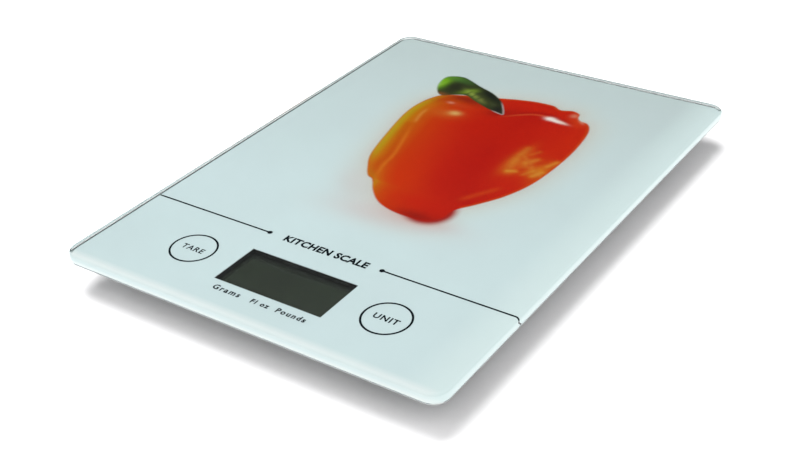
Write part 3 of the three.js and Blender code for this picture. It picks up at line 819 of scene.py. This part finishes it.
def foot_profile(radius, under, top):
    """A rounded disc with a well for its pad, a neck, a snap-in collar and a peg."""
    lip, rim, shoulder, fillet = 0.2, 0.5, 0.3, 0.2  # sizes of its rounded corners
    profile = [(TURN_AXIS, WELL_TOP), (WELL_RADIUS, WELL_TOP), (WELL_RADIUS, under + lip)]
    profile += arc((WELL_RADIUS + lip, under + lip), lip, 180, 270)
    profile += arc((radius - rim, under + rim), rim, -90, 0)
    profile += arc((radius - shoulder, DISC_TOP - shoulder), shoulder, 0, 90)
    profile += [(NECK_RADIUS + fillet, DISC_TOP), (NECK_RADIUS, DISC_TOP + fillet)]
    profile += [(NECK_RADIUS, COLLAR_LOW), (COLLAR_RADIUS - 0.1, COLLAR_LOW)]
    profile += [(COLLAR_RADIUS, COLLAR_LOW + 0.1), (COLLAR_RADIUS, COLLAR_HIGH - 0.35)]
    profile += [(COLLAR_RADIUS - 0.4, COLLAR_HIGH), (PEG_RADIUS, COLLAR_HIGH)]
    return profile + [(PEG_RADIUS, top), (TURN_AXIS, top)]


def tread_profile(radius, under, top):
    """A rubber pad with round ribs on its underside and a rounded outer edge."""
    root, slope, rim = under + TREAD["depth"], TREAD["slope"], 0.5
    profile = [(TURN_AXIS, root)]
    for start in TREAD["ribs"]:
        end = start + TREAD["width"]
        profile += [(start - slope, root), (start, under), (end, under), (end + slope, root)]
    profile += arc((radius - rim, under + rim), rim, -70, 0)
    return profile + [(radius, top), (TURN_AXIS, top)]


def build_feet(materials):
    """The four feet and their pads, each as wide and as tall as the CAD piece it replaces."""
    for place in ("front_left", "front_right", "back_left", "back_right"):
        cap, pad = "foot_" + place, "foot_pad_" + place
        x, y, _ = middle(cap)
        (left, _, under), (right, _, top) = box_mm(cap)
        profile = foot_profile((right - left) / 2, under, top)
        foot = turned("foot_turned_" + place, profile, (x, y), materials["housing"])
        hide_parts(cap)

        (left, _, under), (right, _, top) = box_mm(pad)
        profile = tread_profile((right - left) / 2, under, top)
        rubber = turned("foot_tread_" + place, profile, (x, y), materials["rubber"])
        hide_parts(pad)


# ---------- Materials of the CAD pieces that stay ----------
def dress_cad(materials):
    slots = {s["node"]: s["material_slot"] for s in frame["record"]["subparts"]}
    for name, node in frame["nodes"].items():
        node.data.materials.clear()
        node.data.materials.append(materials[slots[name]])
        node.data.set_sharp_from_angle(angle=math.radians(32))


# ---------- Stage ----------
def look(azimuth, elevation, roll):
    """A rotation for a camera that looks from azimuth (0 looks along +Y) and elevation."""
    az, el, turn = (math.radians(a) for a in (azimuth, elevation, roll))
    forward = Vector((-math.sin(az) * math.cos(el), math.cos(az) * math.cos(el), -math.sin(el)))
    right = forward.cross(Vector((0, 0, 1))).normalized()
    up = right.cross(forward)
    tilted = right * math.cos(turn) + up * math.sin(turn)
    return Matrix((tilted, tilted.cross(forward), -forward)).transposed()


def build_camera():
    data = bpy.data.cameras.new("camera")
    data.lens = CAMERA_LENS
    data.clip_start = 0.01
    camera = bpy.data.objects.new("camera", data)
    bpy.context.scene.collection.objects.link(camera)
    turn = look(CAMERA_AZIMUTH, CAMERA_ELEVATION, CAMERA_ROLL)
    camera.matrix_world = Matrix.Translation(CAMERA_PLACE) @ turn.to_4x4()
    bpy.context.scene.camera = camera


def build_light(name, light):
    """A round soft lamp. The glass doesn't mirror it as a white disc."""
    data = bpy.data.lights.new(name, "AREA")
    data.shape = "DISK"
    data.size = light["size"]
    data.energy = light["watts"]
    lamp = bpy.data.objects.new(name, data)
    bpy.context.scene.collection.objects.link(lamp)
    place = Vector(light["place"])
    lamp.visible_glossy = False
    lamp.rotation_euler = place.to_track_quat("Z", "Y").to_euler()
    lamp.location = place


def build_floor():
    """A plain pale worktop that fades into the backdrop. It is clear from below and casts no
    shadow downward, so the bright sky under it lights the underside."""
    nodes = Nodes("pale_floor")
    shader = nodes.shader(roughness=0.9, Specular_IOR_Level=0.0)
    grain = nodes.spread(nodes.noise(3), 0, 1)
    nodes.join(nodes.blend(grain, *WORKTOP), shader.inputs["Base Color"])
    clear = nodes.add("ShaderNodeBsdfTransparent")
    side = nodes.add("ShaderNodeNewGeometry")
    ray = nodes.add("ShaderNodeLightPath")
    place = nodes.add("ShaderNodeTexCoord")
    away = nodes.add("ShaderNodeVectorMath", operation="LENGTH")
    nodes.join(place.outputs["Object"], away.inputs[0])
    faded = nodes.spread(away.outputs["Value"], 0, 1, FLOOR["plain"], FLOOR["faded"])
    for other in (side.outputs["Backfacing"], ray.outputs["Is Shadow Ray"]):
        faded = nodes.either(faded, other)
    mesh = bpy.data.meshes.new("floor")
    corners = rectangle(-FLOOR["half"], FLOOR["half"], -FLOOR["half"], FLOOR["half"])
    mesh.from_pydata([(x, y, 0) for x, y in corners], [], [(0, 1, 2, 3)])
    mesh.materials.append(nodes.finish(nodes.mix_shaders(faded, shader, clear)))
    floor = bpy.data.objects.new("floor", mesh)
    bpy.context.scene.collection.objects.link(floor)


def build_sky():
    """A soft ceiling over dim walls with a bright foot, and a pale backdrop in the camera's view."""
    world = bpy.data.worlds.new("studio")
    world.use_nodes = True
    tree = world.node_tree
    direction = tree.nodes.new("ShaderNodeTexCoord")
    split = tree.nodes.new("ShaderNodeSeparateXYZ")
    ramp_node = tree.nodes.new("ShaderNodeValToRGB")
    stops = ramp_node.color_ramp.elements
    while len(stops) < len(SKY):
        stops.new(1.0)
    for stop, (height, level) in zip(stops, SKY):
        stop.position = height
        stop.color = (level, level, level, 1)
    ray = tree.nodes.new("ShaderNodeLightPath")
    view = tree.nodes.new("ShaderNodeMix")
    view.data_type = "RGBA"
    view.inputs[7].default_value = (BACKDROP, BACKDROP, BACKDROP, 1)
    tree.links.new(direction.outputs["Generated"], split.inputs[0])
    tree.links.new(split.outputs[2], ramp_node.inputs["Fac"])
    tree.links.new(ray.outputs["Is Camera Ray"], view.inputs[0])
    tree.links.new(ramp_node.outputs["Color"], view.inputs[6])
    tree.links.new(view.outputs[2], tree.nodes["Background"].inputs["Color"])
    bpy.context.scene.world = world


def build_stage():
    build_floor()
    build_sky()
    bpy.context.scene.view_settings.view_transform = "Standard"
    build_light("key_light", KEY_LIGHT)
    build_light("front_light", FRONT_LIGHT)
    build_light("side_light", SIDE_LIGHT)


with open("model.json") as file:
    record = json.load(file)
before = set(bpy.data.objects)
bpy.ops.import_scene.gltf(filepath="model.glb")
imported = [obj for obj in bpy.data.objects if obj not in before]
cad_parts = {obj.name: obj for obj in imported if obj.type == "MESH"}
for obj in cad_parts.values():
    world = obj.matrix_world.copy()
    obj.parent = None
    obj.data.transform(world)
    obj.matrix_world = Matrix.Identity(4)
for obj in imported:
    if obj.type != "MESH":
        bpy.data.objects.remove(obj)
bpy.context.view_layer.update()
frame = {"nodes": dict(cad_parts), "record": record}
build_camera()
build_stage()
finishes = make_materials()
dress_cad(finishes)
build_glass(finishes)
build_film(finishes)
build_marks(finishes)
build_lettering(finishes)
build_feet(finishes)
